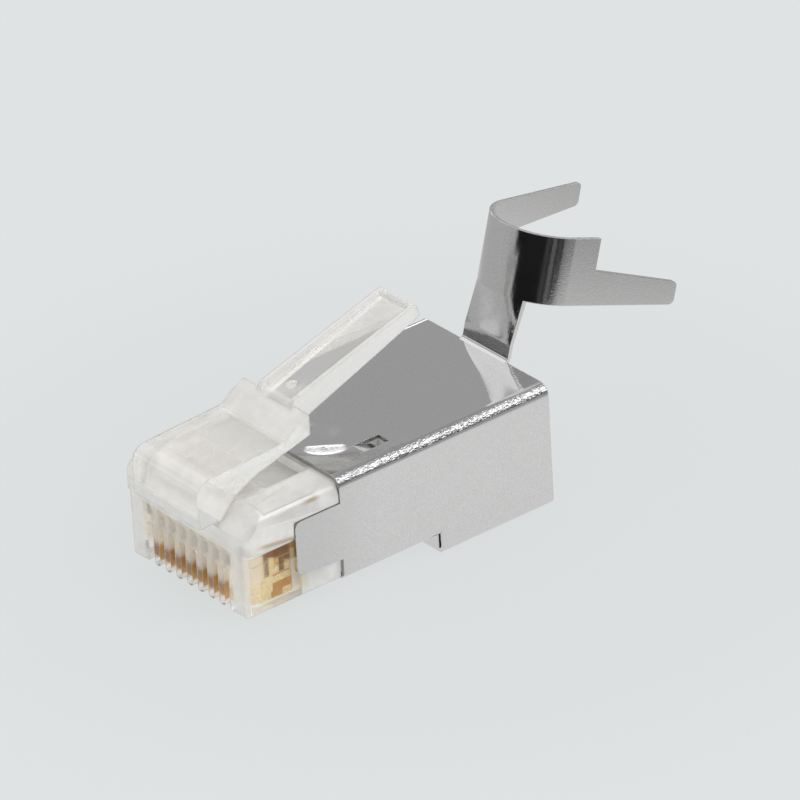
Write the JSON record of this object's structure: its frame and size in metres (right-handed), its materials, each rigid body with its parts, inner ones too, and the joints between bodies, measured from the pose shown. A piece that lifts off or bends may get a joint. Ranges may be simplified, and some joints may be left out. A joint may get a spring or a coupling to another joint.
{
  "type": "shielded modular plug",
  "caption": "Shielded RJ45 modular plug: clear moulded nose with gold contacts and spring latch, folded metal shield with a stepped floor and a crimp tail for the cable.",
  "frame": {"origin": "middle of the nose's bottom front edge, the mating datum of the contact side", "axes": "+Y from the nose back to the cable, +Z from the contact side up to the latch, +X to the right seen from the nose's rear"},
  "size_m": [0.0118, 0.0355, 0.0158],
  "materials": {
    "clear_moulding": "clear polycarbonate, slightly milky",
    "plated_sheet": "bright nickel plating over thin sheet",
    "gold_contact": "gold-plated blades"
  },
  "bodies": {
    "plug": {"plug_body": "clear_moulding", "shield": "plated_sheet", "contact_1": "gold_contact", "contact_2": "gold_contact", "contact_3": "gold_contact", "contact_4": "gold_contact", "contact_5": "gold_contact", "contact_6": "gold_contact", "contact_7": "gold_contact", "contact_8": "gold_contact"},
    "latch": {"latch_lever": "clear_moulding"}
  },
  "joints": [
    {"name": "latch_flex", "type": "hinge", "parent": "plug", "child": "latch", "pos_m": [0, 0.00137, 0.00652], "axis": [-1, 0, 0], "range_deg": [0, 12], "stiffness_Nm_per_rad": 0.25}
  ]
}
